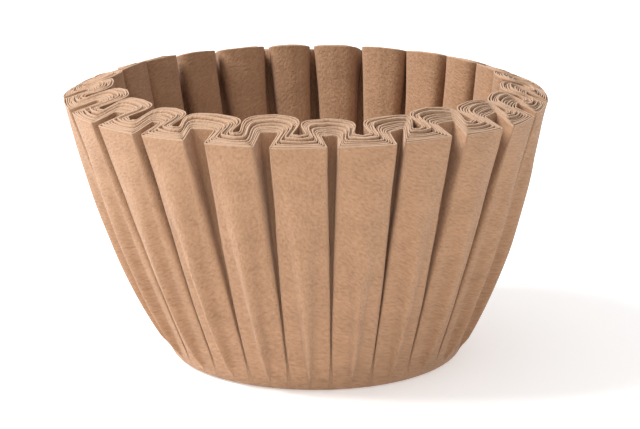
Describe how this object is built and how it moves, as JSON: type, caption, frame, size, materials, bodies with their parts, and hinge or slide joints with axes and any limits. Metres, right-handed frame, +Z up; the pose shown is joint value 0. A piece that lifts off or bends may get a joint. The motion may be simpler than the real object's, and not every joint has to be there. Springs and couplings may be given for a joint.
{
  "type": "stack of nested paper coffee filters",
  "caption": "Tight nest of flat-bottomed, fluted paper coffee filters in brown unbleached paper, each pleated wall seated in the one outside it.",
  "frame": {"origin": "centre of the underside of the outermost filter's flat disc, which is the bottom centre of the bounding box", "axes": "+Z up along the cups' common axis, from the discs to the open rims; +X through the middle of one flute's outer panel"},
  "size_m": [0.107, 0.107, 0.0614],
  "materials": {
    "kraft_paper": "matt, creped, unbleached brown"
  },
  "bodies": {
    "root": {"filter_01": "kraft_paper", "filter_02": "kraft_paper", "filter_03": "kraft_paper", "filter_04": "kraft_paper", "filter_05": "kraft_paper", "filter_06": "kraft_paper", "filter_07": "kraft_paper", "filter_08": "kraft_paper", "filter_09": "kraft_paper", "filter_10": "kraft_paper", "filter_11": "kraft_paper", "filter_12": "kraft_paper"}
  },
  "joints": []
}
